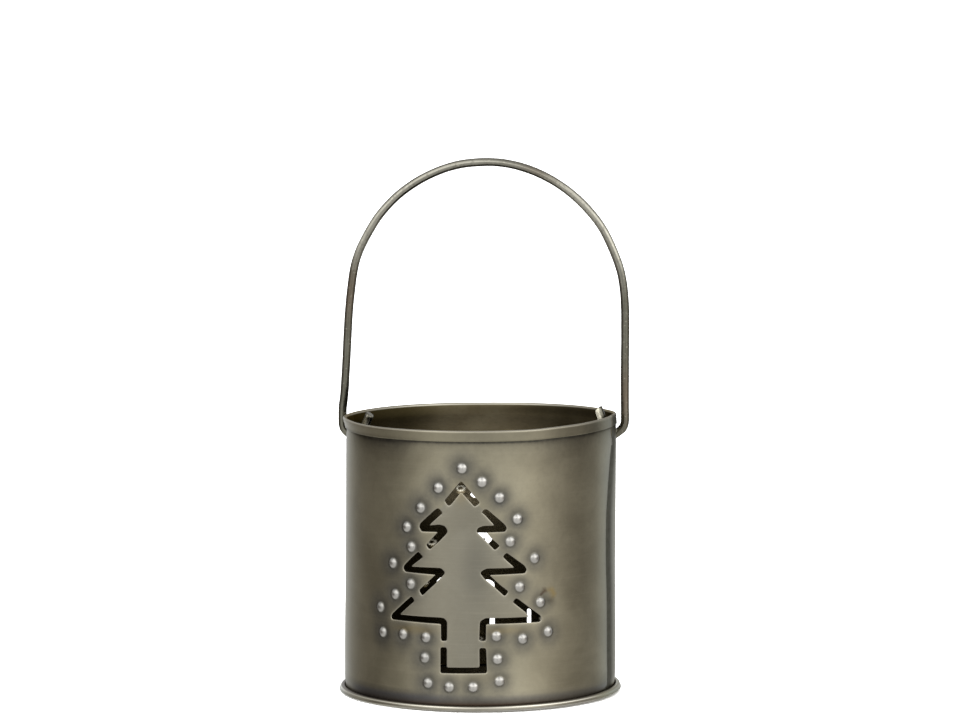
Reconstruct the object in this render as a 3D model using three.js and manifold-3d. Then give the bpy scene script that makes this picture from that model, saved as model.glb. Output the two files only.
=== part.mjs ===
// Pierced sheet-metal windlight: a small open bucket for a tealight, with a
// fir-tree outline cut through the front and the rear of the wall, pressed dots
// around each tree, a rolled base and a swinging wire bail.
// Millimetres, +Z up. The origin is on the bucket's axis, in the plane it stands on.
// The front tree faces -Y. The bail swings about the line through its two holes, close to X.
import * as THREE from 'three';
import { mergeVertices, mergeGeometries } from 'three/addons/utils/BufferGeometryUtils.js';
import Module from 'manifold-3d';

// ---- driving dimensions -----------------------------------------------------
const WALL_R = 45.0;          // outside radius of the rolled wall
const SHEET = 0.5;            // sheet thickness
const RIM_Z = 92.1;           // height of the mouth
const HEM_H = 3.65;           // height of the folded hem at the mouth
const HEM_OUT = 0.5;          // how far the hem stands proud of the wall
const FOOT_Z = 0.8;           // underside of the wall's foot flange
const FOOT_R = 46.0;          // outside radius of the foot flange
const BEAD_R = 46.8;          // outside radius of the rolled bead of the base
const BEAD_H = 2.6;           // height of the bead
const LIP_R = 45.4;           // inside radius of the bead's upper lip
const FLOOR_R = 43.9;         // flat inside floor, inside the step under the foot flange
const WIRE_D = 2.9;           // bail wire diameter
const HINGE_Y = 5.0;          // the two bail holes sit this far behind the axis
const HOLES = [               // bail holes: side, height, diameter
  { side: -1, z: 84.2, d: 5.2 },
  { side: 1, z: 86.0, d: 4.6 },
];
const SEAM_FROM = 75.7;       // lapped side seam, degrees round from the front towards +X
const SEAM_TO = 85.5;
const SEAM_OUT = 0.2;         // how far the lap stands proud of the wall
const FRONT_AT = 0;           // centre of the front tree, degrees round from the front
const REAR_AT = 173.6;        // centre of the rear tree: off centre because of the lap
const ROUND = 72;             // facets round the drum

// Slits of one tree on the developed wall: [round the wall, height].
const TREE_SLITS = [
  [[-0.36, 75.59], [-5.91, 69.0], [-4.74, 67.34], [-3.81, 67.69], [-0.36, 72.01], [3.77, 67.49], [4.19, 67.27], [5.8, 68.48]],
  [[-8.01, 66.58], [-9.14, 65.88], [-14.33, 61.28], [-14.8, 60.14], [-13.97, 58.61], [-8.09, 58.71], [-12.29, 54.19], [-11.03, 52.82],
    [-7.92, 55.48], [-5.08, 58.42], [-4.98, 59.51], [-5.89, 60.78], [-7.68, 61.14], [-11.37, 60.65], [-6.55, 65.0]],
  [[7.42, 66.52], [8.29, 66.19], [13.94, 61.3], [14.6, 60.11], [14.1, 59.0], [7.81, 58.85], [9.79, 56.62], [12.3, 54.39], [10.66, 53.0],
    [7.0, 56.84], [4.83, 58.92], [4.73, 59.45], [5.25, 60.33], [7.0, 60.98], [10.66, 61.01], [7.1, 64.89], [6.22, 65.31]],
  [[-15.07, 51.94], [-15.8, 51.46], [-20.38, 47.2], [-20.9, 46.08], [-20.11, 45.0], [-8.89, 44.71], [-14.83, 39.3], [-13.89, 37.72],
    [-13.39, 37.85], [-9.31, 41.58], [-6.0, 45.0], [-5.9, 45.85], [-7.11, 46.91], [-8.48, 46.95], [-17.95, 46.83], [-13.33, 50.31]],
  [[14.5, 52.15], [15.36, 51.47], [20.56, 47.68], [21.35, 46.33], [20.77, 45.2], [8.81, 44.94], [12.3, 41.65], [15.17, 39.38], [14.04, 38.01],
    [13.62, 38.12], [10.77, 40.79], [7.32, 43.68], [6.03, 45.3], [6.12, 46.07], [7.97, 47.04], [17.27, 47.06], [13.61, 50.44], [13.38, 51.0]],
  [[-17.59, 37.14], [-18.35, 36.62], [-25.36, 30.74], [-25.79, 29.84], [-25.54, 28.9], [-18.09, 28.84], [-7.13, 28.67], [-7.04, 23.1],
    [-5.18, 23.18], [-5.11, 29.51], [-6.02, 30.59], [-7.61, 30.72], [-18.09, 30.72], [-22.3, 30.76], [-16.54, 35.67]],
  [[17.61, 37.14], [18.28, 36.88], [21.96, 34.08], [26.23, 30.97], [26.6, 29.86], [25.98, 28.95], [12.31, 28.95], [7.74, 28.85], [7.65, 23.38],
    [5.57, 23.39], [5.8, 29.71], [7.52, 30.82], [14.51, 30.76], [22.16, 30.8], [21.02, 32.39], [16.94, 35.62], [16.7, 36.06]],
  [[-7.28, 20.96], [-7.29, 12.51], [8.07, 12.82], [7.74, 20.99], [5.64, 21.0], [5.7, 14.63], [-5.22, 14.41], [-5.22, 21.04]],
];

// Pressed dots around the front and the rear tree: [round the wall, height].
const FRONT_DOTS = [
  [-0.03, 79.63], [6.42, 75.31], [12.19, 70.27], [17.99, 63.17], [15.69, 55.94], [23.91, 50.13], [18.65, 41.02], [25.97, 35.61],
  [28.94, 25.61], [19.76, 23.93], [11.13, 24.98], [11.56, 17.43], [12.18, 10.03], [3.62, 8.13], [-4.09, 8.12], [-11.4, 9.06],
  [-12.49, 17.28], [-11.98, 24.15], [-20.63, 24.42], [-29.48, 24.32], [-30.75, 32.58], [-23.77, 37.38], [-17.43, 41.32],
  [-24.93, 47.54], [-17.4, 53.42], [-19.26, 59.75], [-13.99, 66.52], [-7.76, 73.24],
];
const REAR_DOTS = [
  [0.42, 79.2], [6.9, 75.0], [12.6, 69.6], [17.5, 62.5], [15.9, 56.2], [23.3, 51.4], [27.7, 43.9], [18.8, 41.3], [26.2, 36.6],
  [29.4, 29.6], [20.4, 24.2], [11.4, 24.6], [11.9, 17.0], [11.7, 9.7], [3.9, 8.4], [-3.8, 8.0], [-11.7, 9.3],
  [-12.1, 17.5], [-12.3, 24.5], [-21.0, 24.1], [-29.0, 24.7], [-30.2, 32.2], [-24.2, 37.1], [-17.1, 41.6],
  [-25.3, 47.2], [-17.0, 53.7], [-19.6, 60.0], [-13.6, 66.9], [-7.4, 73.6],
];
const DOT_R = 1.55;           // radius of a dot at the wall
const DOT_H = 0.8;            // how far a dot stands out

// Bail centreline, [x, z] in the plane y = HINGE_Y: one corner at each bend, with its bend radius.
// It runs from the hook tip inside the left wall, out through the left hole, over
// the arch and back in through the right hole.
const BAIL_LEFT = [
  { p: [-38.2, 92.0] }, { p: [-41.9, 82.25], r: 1.6 }, { p: [-47.25, 86.54], r: 3.4 }, { p: [-47.25, 94.6] },
];
const BAIL_ARCH = [
  [-47.12, 97.0], [-46.85, 100.2], [-46.48, 104.4], [-46.06, 109.5], [-45.56, 117.05], [-45.01, 125.58], [-44.25, 133.01], [-43.15, 140.73],
  [-41.39, 146.55], [-38.28, 152.68], [-34.37, 158.7], [-28.75, 164.77], [-22.8, 169.28], [-17.41, 172.19], [-12.03, 174.35], [-6.66, 175.71],
  [-1.29, 176.31], [4.07, 176.36], [9.43, 175.66], [14.79, 174.3], [20.14, 172.19], [25.49, 169.23], [30.83, 165.27], [36.17, 159.9],
  [40.25, 154.38], [43.51, 147.86], [45.97, 141.44], [47.12, 136.02], [47.72, 129.09], [47.88, 120.56], [47.9, 109.52], [48.05, 99.0],
];
const BAIL_RIGHT = [
  { p: [48.1, 94.0] }, { p: [48.1, 88.11], r: 4.3 }, { p: [42.5, 84.9], r: 1.6 }, { p: [38.75, 95.2] },
];

// ---- helpers ----------------------------------------------------------------
const wasm = await Module();
wasm.setup();

const rad = (deg) => (deg * Math.PI) / 180;

// Positions only, shared vertices merged, collapsed triangles dropped.
function tidy(geometry) {
  let g = geometry.clone();
  for (const name of Object.keys(g.attributes)) if (name !== 'position') g.deleteAttribute(name);
  g = mergeVertices(g, 1e-4);
  const src = g.index.array;
  const kept = [];
  for (let i = 0; i < src.length; i += 3) {
    const [a, b, c] = [src[i], src[i + 1], src[i + 2]];
    if (a !== b && b !== c && a !== c) kept.push(a, b, c);
  }
  g.setIndex(kept);
  return g;
}

function toSolid(geometry) {
  const g = tidy(geometry);
  return new wasm.Manifold(new wasm.Mesh({
    numProp: 3,
    vertProperties: new Float32Array(g.attributes.position.array),
    triVerts: new Uint32Array(g.index.array),
  }));
}

function toGeometry(solid) {
  const m = solid.getMesh();
  const pos = new Float32Array((m.vertProperties.length / m.numProp) * 3);
  for (let i = 0; i < pos.length / 3; i++) {
    for (let k = 0; k < 3; k++) pos[3 * i + k] = m.vertProperties[m.numProp * i + k];
  }
  const g = new THREE.BufferGeometry();
  g.setAttribute('position', new THREE.BufferAttribute(pos, 3));
  g.setIndex([...m.triVerts]);
  g.computeVertexNormals();
  return g;
}

// A ring or disc spun round Z from [radius, height] points, listed bottom, outside, top, inside.
function spun(points, segments = ROUND) {
  const g = new THREE.LatheGeometry(points.map(([r, z]) => new THREE.Vector2(r, z)), segments);
  g.rotateX(Math.PI / 2);
  return g;
}

// A prism drawn on the developed wall, bent round the drum.
function onWall(outline, centreDeg, from, to) {
  const fine = [];
  outline.forEach(([u, v], i) => {
    const [u2, v2] = outline[(i + 1) % outline.length];
    const n = Math.max(1, Math.ceil(Math.abs(u2 - u) / 4));
    for (let k = 0; k < n; k++) fine.push(new THREE.Vector2(u + ((u2 - u) * k) / n, v + ((v2 - v) * k) / n));
  });
  const g = new THREE.ExtrudeGeometry(new THREE.Shape(fine), { depth: to - from, bevelEnabled: false, steps: 1 });
  const p = g.attributes.position;
  for (let i = 0; i < p.count; i++) {
    const a = rad(centreDeg) + p.getX(i) / WALL_R;
    const r = WALL_R + from + p.getZ(i);
    p.setXYZ(i, r * Math.sin(a), -r * Math.cos(a), p.getY(i));
  }
  return g;
}

// A small turned boss standing radially on the wall; profile is [radius, distance from the wall face].
function boss(profile, centreDeg, [u, v], segments = 6) {
  const g = new THREE.LatheGeometry(profile.map(([r, h]) => new THREE.Vector2(r, h)), segments);
  const a = rad(centreDeg) + u / WALL_R;
  const out = new THREE.Vector3(Math.sin(a), -Math.cos(a), 0);
  g.applyQuaternion(new THREE.Quaternion().setFromUnitVectors(new THREE.Vector3(0, 1, 0), out));
  g.translate(WALL_R * out.x, WALL_R * out.y, v);
  return g;
}

// Points of a bent wire: straight runs joined by arcs of the given bend radius.
function bentRun(corners) {
  const pts = [];
  corners.forEach(({ p, r }, i) => {
    const here = new THREE.Vector2(...p);
    if (!r) { pts.push(here); return; }
    const a = new THREE.Vector2(...corners[i - 1].p).sub(here).normalize();
    const b = new THREE.Vector2(...corners[i + 1].p).sub(here).normalize();
    const half = Math.acos(THREE.MathUtils.clamp(a.dot(b), -1, 1)) / 2;
    const reach = r / Math.tan(half);
    const centre = here.clone().addScaledVector(a.clone().add(b).normalize(), r / Math.sin(half));
    const start = here.clone().addScaledVector(a, reach).sub(centre);
    const end = here.clone().addScaledVector(b, reach).sub(centre);
    const sweep = Math.atan2(start.cross(end), start.dot(end));
    const n = Math.max(3, Math.ceil(Math.abs(sweep) / rad(18)));
    for (let k = 0; k <= n; k++) pts.push(start.clone().rotateAround(new THREE.Vector2(), (sweep * k) / n).add(centre));
  });
  return pts;
}

// A curve through listed stations, so a tube along it has one section at each station.
class StationCurve extends THREE.Curve {
  constructor(points) { super(); this.points = points; }
  getPoint(t, target = new THREE.Vector3()) {
    const x = THREE.MathUtils.clamp(t, 0, 1) * (this.points.length - 1);
    const i = Math.min(Math.floor(x + 1e-9), this.points.length - 2);
    return target.copy(this.points[i]).lerp(this.points[i + 1], THREE.MathUtils.clamp(x - i, 0, 1));
  }
  getUtoTmapping(u) { return u; }
  getTangent(t, target = new THREE.Vector3()) {
    const i = Math.round(THREE.MathUtils.clamp(t, 0, 1) * (this.points.length - 1));
    const step = (j) => this.points[j + 1].clone().sub(this.points[j]).normalize();
    if (i === 0) return target.copy(step(0));
    if (i === this.points.length - 1) return target.copy(step(i - 1));
    return target.copy(step(i - 1)).add(step(i)).normalize();
  }
}

// ---- body shell ---------------------------------------------------------------
const inner = WALL_R - SHEET;
const hem = WALL_R + HEM_OUT;
let shell = toSolid(spun([
  [inner, FOOT_Z], [FOOT_R, FOOT_Z], [FOOT_R, FOOT_Z + SHEET], [WALL_R, FOOT_Z + SHEET],
  [WALL_R, RIM_Z - HEM_H], [hem, RIM_Z - HEM_H + 0.1], [hem, RIM_Z - 0.35],
  [hem - 0.3, RIM_Z], [inner + 0.3, RIM_Z], [inner, RIM_Z - 0.35], [inner, FOOT_Z],
]));

// Lapped side seam: the outer end of the strip lies over the inner one.
{
  const arc = new THREE.Shape();
  const n = 3;
  const at = (r, deg) => [r * Math.sin(rad(deg)), -r * Math.cos(rad(deg))];
  const rim = [];
  for (let k = 0; k <= n; k++) rim.push(at(WALL_R + SEAM_OUT, SEAM_FROM + ((SEAM_TO - SEAM_FROM) * k) / n));
  for (let k = n; k >= 0; k--) rim.push(at(WALL_R - 0.25, SEAM_FROM + ((SEAM_TO - SEAM_FROM) * k) / n));
  rim.forEach(([x, y], i) => (i ? arc.lineTo(x, y) : arc.moveTo(x, y)));
  const lap = new THREE.ExtrudeGeometry(arc, { depth: RIM_Z - HEM_H + 0.5 - (BEAD_H + 0.35), bevelEnabled: false });
  lap.translate(0, 0, BEAD_H + 0.35);
  shell = shell.add(toSolid(lap));
}

const trees = [[FRONT_AT, FRONT_DOTS], [REAR_AT, REAR_DOTS]];

// Pressed dots: a dome outside with its hollow inside.
const domes = [];
const hollows = [];
for (const [deg, dots] of trees) {
  for (const d of dots) {
    domes.push(tidy(boss([[0, -0.25], [DOT_R, -0.25], [DOT_R * 0.9, 0.15], [DOT_R * 0.5, DOT_H * 0.9], [0, DOT_H]], deg, d)));
    hollows.push(tidy(boss([[0, -1.2], [DOT_R * 0.85, -1.2], [DOT_R * 0.75, -0.25], [0, 0.3]], deg, d)));
  }
}
shell = shell.add(toSolid(mergeGeometries(domes))).subtract(toSolid(mergeGeometries(hollows)));

// Pierced slits and bail holes.
const cuts = trees.flatMap(([deg]) => TREE_SLITS.map((s) => tidy(onWall(s, deg, -2, 2.6))));
for (const { side, z, d } of HOLES) {
  const hole = new THREE.CylinderGeometry(d / 2, d / 2, 4, 16);
  hole.rotateZ(Math.PI / 2);
  hole.translate(side * (WALL_R - SHEET / 2), HINGE_Y, z);
  cuts.push(tidy(hole));
}
shell = shell.subtract(toSolid(mergeGeometries(cuts)));

// ---- base pan: flat disc, edge rolled up and over the foot flange -----------------
const pan = tidy(spun([
  [0, 0], [BEAD_R - 0.55, 0], [BEAD_R, 0.55], [BEAD_R, BEAD_H - 0.6], [BEAD_R - 0.6, BEAD_H], [LIP_R, BEAD_H - 0.15],
  [LIP_R, BEAD_H - 0.55], [BEAD_R - 0.65, BEAD_H - 0.55], [BEAD_R - 0.48, BEAD_H - 0.75], [BEAD_R - 0.48, 0.75],
  [BEAD_R - 0.75, SHEET - 0.15], [FLOOR_R + 0.3, SHEET - 0.15], [FLOOR_R, SHEET], [0, SHEET],
]));

// ---- bail ------------------------------------------------------------------------
const stations = [
  ...bentRun(BAIL_LEFT),
  ...new THREE.SplineCurve(BAIL_ARCH.map(([x, z]) => new THREE.Vector2(x, z))).getPoints(BAIL_ARCH.length + 13),
  ...bentRun(BAIL_RIGHT),
].map((q) => new THREE.Vector3(q.x, HINGE_Y, q.y));
// Ten flats, each touching the round wire.
const wireSection = new THREE.Shape(Array.from({ length: 10 }, (_, i) => {
  const a = (2 * Math.PI * i) / 10;
  const r = WIRE_D / 2 / Math.cos(Math.PI / 10);
  return new THREE.Vector2(r * Math.cos(a), r * Math.sin(a));
}));
const bail = tidy(new THREE.ExtrudeGeometry(wireSection, {
  steps: stations.length - 1, bevelEnabled: false, extrudePath: new StationCurve(stations),
}));

// ---- assembly ---------------------------------------------------------------------
function piece(name, geometry, color, roughness, metalness) {
  geometry.computeVertexNormals();
  const mesh = new THREE.Mesh(geometry, new THREE.MeshStandardMaterial({ color, roughness, metalness }));
  mesh.name = name;
  return mesh;
}

const windlight = new THREE.Group();
windlight.name = 'windlight';
const pot = new THREE.Group();
pot.add(piece('body_shell', toGeometry(shell), 0x756c5e, 0.45, 0.85));
pot.add(piece('base_pan', pan, 0x7c776c, 0.42, 0.85));
windlight.add(pot);
windlight.add(piece('bail_handle', bail, 0x5f5c4d, 0.5, 0.85));

export default windlight;
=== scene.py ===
import math

import bpy
import numpy as np
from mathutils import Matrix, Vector
from mathutils.geometry import delaunay_2d_cdt


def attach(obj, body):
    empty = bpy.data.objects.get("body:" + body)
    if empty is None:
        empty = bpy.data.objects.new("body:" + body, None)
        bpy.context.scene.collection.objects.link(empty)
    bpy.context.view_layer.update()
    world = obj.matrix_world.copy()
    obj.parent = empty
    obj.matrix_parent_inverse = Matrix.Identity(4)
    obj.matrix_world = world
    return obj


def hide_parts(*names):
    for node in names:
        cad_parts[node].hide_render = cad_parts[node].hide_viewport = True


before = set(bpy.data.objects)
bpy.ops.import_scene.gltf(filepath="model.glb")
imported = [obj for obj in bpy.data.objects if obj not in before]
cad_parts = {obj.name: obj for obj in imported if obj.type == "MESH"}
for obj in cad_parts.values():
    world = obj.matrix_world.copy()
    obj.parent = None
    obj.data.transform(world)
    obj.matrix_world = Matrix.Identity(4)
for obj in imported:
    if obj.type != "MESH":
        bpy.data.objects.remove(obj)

scene = bpy.context.scene
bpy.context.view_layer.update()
rng = np.random.default_rng(11)
MM = 0.001
PI = math.pi

# ---- sizes in millimetres -----------------------------------------------------
R0 = 45.0                 # outside radius of the wall
T = 0.5                   # sheet thickness
RM = R0 - T / 2           # middle of the sheet
Z_FOLD, RHO_H = 91.51, 0.34   # centre height and radius of the hem fold
HEM_END = Z_FOLD + PI * RHO_H + 3.06
Z_FOOT, RHO_F = 1.55, 0.5     # bend of the foot flange
FOOT_END = Z_FOOT - PI / 2 * RHO_F - 0.68
NOTCH_V = 83.4                # the covered end of the strip is cut away above this height
HINGE_Y = 5.0             # the wire's plane behind the axis
HOLES = [(96.42, 86.0, 2.45), (263.58, 84.2, 2.6)]   # degrees round from the front, height, radius
WIRE_R = 1.45
CAM_AZ = 7.3              # the photo is taken from this far round towards +X

SLITS = [
    [[-0.36, 75.59], [-5.91, 69.0], [-4.74, 67.34], [-3.81, 67.69], [-0.36, 72.01], [3.77, 67.49], [4.19, 67.27], [5.8, 68.48]],
    [[-8.01, 66.58], [-9.14, 65.88], [-14.33, 61.28], [-14.8, 60.14], [-13.97, 58.61], [-8.09, 58.71], [-12.29, 54.19], [-11.03, 52.82],
     [-7.92, 55.48], [-5.08, 58.42], [-4.98, 59.51], [-5.89, 60.78], [-7.68, 61.14], [-11.37, 60.65], [-6.55, 65.0]],
    [[7.42, 66.52], [8.29, 66.19], [13.94, 61.3], [14.6, 60.11], [14.1, 59.0], [7.81, 58.85], [9.79, 56.62], [12.3, 54.39], [10.66, 53.0],
     [7.0, 56.84], [4.83, 58.92], [4.73, 59.45], [5.25, 60.33], [7.0, 60.98], [10.66, 61.01], [7.1, 64.89], [6.22, 65.31]],
    [[-15.07, 51.94], [-15.8, 51.46], [-20.38, 47.2], [-20.9, 46.08], [-20.11, 45.0], [-8.89, 44.71], [-14.83, 39.3], [-13.89, 37.72],
     [-13.39, 37.85], [-9.31, 41.58], [-6.0, 45.0], [-5.9, 45.85], [-7.11, 46.91], [-8.48, 46.95], [-17.95, 46.83], [-13.33, 50.31]],
    [[14.5, 52.15], [15.36, 51.47], [20.56, 47.68], [21.35, 46.33], [20.77, 45.2], [8.81, 44.94], [12.3, 41.65], [15.17, 39.38], [14.04, 38.01],
     [13.62, 38.12], [10.77, 40.79], [7.32, 43.68], [6.03, 45.3], [6.12, 46.07], [7.97, 47.04], [17.27, 47.06], [13.61, 50.44], [13.38, 51.0]],
    [[-17.59, 37.14], [-18.35, 36.62], [-25.36, 30.74], [-25.79, 29.84], [-25.54, 28.9], [-18.09, 28.84], [-7.13, 28.67], [-7.04, 23.1],
     [-5.18, 23.18], [-5.11, 29.51], [-6.02, 30.59], [-7.61, 30.72], [-18.09, 30.72], [-22.3, 30.76], [-16.54, 35.67]],
    [[17.61, 37.14], [18.28, 36.88], [21.96, 34.08], [26.23, 30.97], [26.6, 29.86], [25.98, 28.95], [12.31, 28.95], [7.74, 28.85], [7.65, 23.38],
     [5.57, 23.39], [5.8, 29.71], [7.52, 30.82], [14.51, 30.76], [22.16, 30.8], [21.02, 32.39], [16.94, 35.62], [16.7, 36.06]],
    [[-7.28, 20.96], [-7.29, 12.51], [8.07, 12.82], [7.74, 20.99], [5.64, 21.0], [5.7, 14.63], [-5.22, 14.41], [-5.22, 21.04]],
]
PANEL = [[-0.3, 73.8], [-7.4, 65.8], [-12.9, 60.6], [-6.2, 59.9], [-11.7, 53.5], [-14.3, 51.2], [-19.3, 46.2], [-7.3, 45.9], [-14.3, 38.6],
         [-17.1, 36.4], [-23.9, 30.0], [-6.2, 29.7], [-6.2, 13.5], [6.7, 13.7], [6.7, 29.9], [24.6, 30.0], [17.2, 36.6], [14.5, 38.7],
         [7.2, 45.9], [19.4, 46.5], [14.0, 51.4], [11.5, 53.7], [6.0, 59.9], [12.8, 60.3], [6.9, 65.9]]
FRONT_DOTS = [
    [-0.09, 79.66], [6.42, 75.28], [12.19, 70.11], [18.11, 63.05], [15.71, 55.74], [24.03, 49.93], [18.89, 40.78], [26.12, 35.42],
    [28.98, 25.57], [19.95, 23.74], [11.18, 24.9], [11.56, 17.35], [12.18, 10.06], [3.52, 8.12], [-4.38, 8.0], [-11.65, 8.98],
    [-12.75, 17.24], [-12.34, 23.99], [-20.84, 24.42], [-29.38, 24.32], [-30.53, 32.46], [-24.06, 37.3], [-17.88, 41.16],
    [-25.04, 47.46], [-17.66, 53.34], [-19.36, 59.75], [-14.19, 66.32], [-7.99, 73.12],
]
REAR_DOTS = [
    [0.42, 79.2], [6.9, 75.0], [12.6, 69.6], [17.76, 62.13], [15.9, 56.2], [23.3, 51.4], [28.08, 43.80], [18.8, 41.3], [26.2, 36.6],
    [31.0, 30.2], [20.4, 24.2], [11.4, 24.6], [11.9, 17.0], [11.7, 9.7], [3.9, 8.4], [-3.8, 8.0], [-11.7, 9.3],
    [-12.1, 17.5], [-12.3, 24.5], [-21.0, 24.1], [-29.0, 24.7], [-30.2, 32.2], [-24.2, 37.1], [-17.1, 41.6],
    [-25.3, 47.2], [-17.0, 53.7], [-19.6, 60.0], [-13.6, 66.9], [-7.4, 73.6],
]
FRONT_X = R0 * 2 * PI                     # centre of the front tree on the developed strip
REAR_X = R0 * math.radians(173.32)
DOT_R, DOT_H = 1.62, 0.66

BAIL_LEFT = [((-37.8, 91.5), 0), ((-41.7, 82.25), 1.6), ((-47.2, 86.5), 3.4), ((-47.15, 93.4), 0)]
BAIL_ARCH = [
    (-46.66, 97.0), (-46.36, 100.4), (-46.12, 104.4), (-45.80, 109.5), (-45.41, 117.05), (-44.91, 125.58), (-44.17, 133.01), (-43.05, 140.73),
    (-41.25, 146.5), (-38.16, 152.6), (-34.29, 158.64), (-28.65, 164.67), (-22.7, 169.14), (-17.35, 172.07), (-12.0, 174.25), (-6.66, 175.61),
    (-1.29, 176.21), (4.07, 176.3), (9.43, 175.66), (14.79, 174.3), (20.14, 172.19), (25.5, 169.23), (30.86, 165.29), (36.25, 159.96),
    (40.39, 154.47), (43.66, 147.92), (46.12, 141.48), (47.3, 136.02), (47.92, 129.09), (48.03, 120.56), (47.98, 109.52), (47.98, 99.0),
]
BAIL_RIGHT = [((48.03, 94.5), 0), ((48.10, 88.55), 4.0), ((42.65, 84.15), 1.5), ((39.25, 94.35), 0)]

# Height of the rim line above level, degrees round from the camera: it climbs to the lapped seam.
RIM_LIFT = [(-180, -0.30), (-150, -0.27), (-120, -0.36), (-105, -0.36), (-90, -0.15), (-78, -0.06), (-63, -0.32), (-48, -0.44), (-36, -0.36),
            (-17, -0.27), (0, -0.17), (15, -0.11), (24, -0.02), (31, 0.27), (38, 0.47), (48, 0.70), (56, 0.98), (67, 1.20), (75, 1.40),
            (83, 1.28), (92, 0.95), (105, 0.62), (118, 0.36), (135, 0.22), (150, 0.05), (165, -0.15), (180, -0.30)]


# ---- small helpers --------------------------------------------------------------
def smooth(a, b, x):
    t = np.clip((np.asarray(x, float) - a) / (b - a), 0, 1)
    return t * t * (3 - 2 * t)


def rounded(poly, radius):
    """The outline with each corner eased by a short curve."""
    p = np.array(poly, float)
    n = len(p)
    out = []
    for i in range(n):
        a, b, c = p[i - 1], p[i], p[(i + 1) % n]
        la, lc = np.linalg.norm(a - b), np.linalg.norm(c - b)
        s = b + (a - b) * min(radius, 0.42 * la) / la
        e = b + (c - b) * min(radius, 0.42 * lc) / lc
        for t in (0.0, 0.33, 0.67, 1.0):
            out.append((1 - t) ** 2 * s + 2 * t * (1 - t) * b + t * t * e)
    return np.array(out)


def drawn_in(poly, by):
    """The outline with every side moved inwards."""
    p = np.array(poly, float)
    d = np.roll(p, -1, axis=0) - p
    n = np.column_stack([d[:, 1], -d[:, 0]]) / np.linalg.norm(d, axis=1)[:, None]
    if np.sum(p[:, 0] * np.roll(p[:, 1], -1) - np.roll(p[:, 0], -1) * p[:, 1]) < 0:
        n = -n
    m = np.roll(n, 1, axis=0)
    return p - by * (n + m) / np.maximum(1 + (n * m).sum(1), 0.4)[:, None]


def resampled(loop, step):
    """Closed loop with points about one step apart."""
    p = np.vstack([loop, loop[:1]])
    seg = np.linalg.norm(np.diff(p, axis=0), axis=1)
    at = np.concatenate([[0], np.cumsum(seg)])
    n = max(8, int(round(at[-1] / step)))
    want = np.linspace(0, at[-1], n, endpoint=False)
    return np.column_stack([np.interp(want, at, p[:, k]) for k in (0, 1)])


def inside(points, loop):
    x, y = points[:, 0], points[:, 1]
    hit = np.zeros(len(points), bool)
    a = loop
    b = np.roll(loop, -1, axis=0)
    for (x1, y1), (x2, y2) in zip(a, b):
        if y1 == y2:
            continue
        cross = ((y1 > y) != (y2 > y)) & (x < (x2 - x1) * (y - y1) / (y2 - y1) + x1)
        hit ^= cross
    return hit


def distance(points, loops, reach=6.0):
    """Distance from each point to the nearest of the loops, capped at reach."""
    best = np.full(len(points), reach)
    for loop in loops:
        lo, hi = loop.min(0) - reach, loop.max(0) + reach
        near = np.nonzero(((points > lo) & (points < hi)).all(1))[0]
        if not len(near):
            continue
        a, b = loop, np.roll(loop, -1, axis=0)
        d = b - a
        ll = (d ** 2).sum(1)
        for part in np.array_split(near, max(1, len(near) * len(a) // 2_000_000)):
            q = points[part]
            t = np.clip(((q[:, None] - a) * d).sum(2) / ll, 0, 1)
            dd = np.sqrt(((q[:, None] - a - t[..., None] * d) ** 2).sum(2).min(1))
            best[part] = np.minimum(best[part], dd)
    return best


def make_mesh(name, verts_mm, faces, attributes=None, materials=(), face_material=None):
    me = bpy.data.meshes.new(name)
    me.from_pydata((np.asarray(verts_mm) * MM).tolist(), [], faces)
    me.validate()
    me.update()
    me.polygons.foreach_set("use_smooth", np.ones(len(me.polygons), bool))
    for key, values in (attributes or {}).items():
        layer = me.attributes.new(key, "FLOAT", "POINT")
        layer.data.foreach_set("value", np.asarray(values, np.float32))
    for m in materials:
        me.materials.append(m)
    if face_material is not None:
        me.polygons.foreach_set("material_index", np.asarray(face_material, np.int32))
    ob = bpy.data.objects.new(name, me)
    scene.collection.objects.link(ob)
    return ob


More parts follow.
